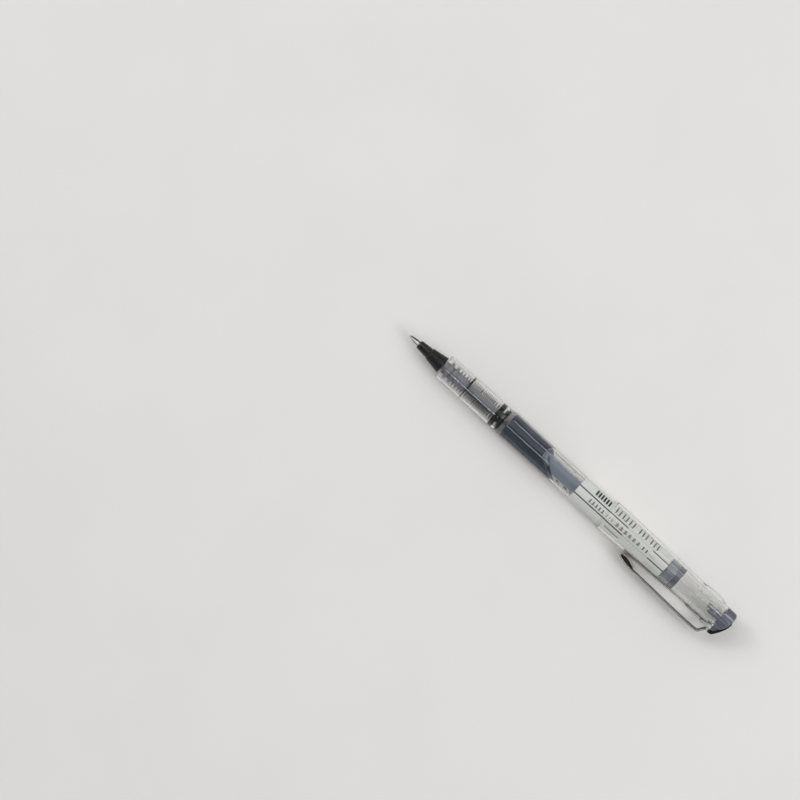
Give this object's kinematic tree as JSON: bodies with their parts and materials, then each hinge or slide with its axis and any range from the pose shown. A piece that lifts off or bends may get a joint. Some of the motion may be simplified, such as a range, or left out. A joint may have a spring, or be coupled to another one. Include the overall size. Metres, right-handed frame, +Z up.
{
  "type": "liquid ink rollerball pen",
  "caption": "Clear-barrel liquid-ink rollerball pen with a finned ink collector, its clear cap posted on the tail and a sprung steel pocket clip.",
  "frame": {"origin": "on the table under the middle of the pen's bounding box; the pen axis is at y = 1.845 mm, z = 6.2 mm", "axes": "+X runs along the pen from the writing point to the tail and posted cap, +Z is up, and the clip is on the -Y side, turned 7.5 degrees below the horizontal"},
  "size_m": [0.1572, 0.0161, 0.0124],
  "materials": {
    "carbide_ball": "polished",
    "point_steel": "satin",
    "black_gloss_plastic": "satin",
    "black_satin_plastic": "satin",
    "feed_fibre": "matte",
    "collector_grey": "satin",
    "black_seal": "matte",
    "clear_plastic": "gloss",
    "liquid_ink": "gloss",
    "label_film": "satin",
    "smoky_plastic": "gloss",
    "clear_cap_plastic": "gloss",
    "frosted_plastic": "satin",
    "clip_steel": "polished",
    "black_inlay": "gloss"
  },
  "bodies": {
    "pen": {"writing_point": "point_steel", "tip_holder": "black_gloss_plastic", "nose_cone": "black_satin_plastic", "feed_rod": "feed_fibre", "collector": "collector_grey", "collector_plug": "black_seal", "section_barrel": "clear_plastic", "ink_barrel": "clear_plastic", "ink_charge": "liquid_ink", "barrel_label": "label_film", "tail_plug": "smoky_plastic"},
    "ball": {"writing_ball": "carbide_ball"},
    "cap_carrier": {"inner_cap": "frosted_plastic"},
    "cap": {"cap_body": "clear_cap_plastic", "crown_plug": "smoky_plastic", "crown_inlay": "black_inlay"},
    "clip_body": {"clip": "clip_steel"}
  },
  "joints": [
    {"name": "cap_pull", "type": "slide", "parent": "pen", "child": "cap_carrier", "axis": [1, 0, 0], "range_m": [0, 0.04]},
    {"name": "cap_twist", "type": "hinge", "parent": "cap_carrier", "child": "cap", "pos_m": [0.05, 0.00185, 0.0062], "axis": [1, 0, 0], "continuous": true},
    {"name": "clip_flex", "type": "hinge", "parent": "cap", "child": "clip_body", "pos_m": [0.07287, -0.0041, 0.00542], "axis": [0, -0.1305, 0.9914], "range_deg": [0, 4], "stiffness_Nm_per_rad": 0.03},
    {"name": "ball_roll", "type": "hinge", "parent": "pen", "child": "ball", "pos_m": [-0.07835, 0.00185, 0.0062], "axis": [0, 1, 0], "continuous": true}
  ]
}
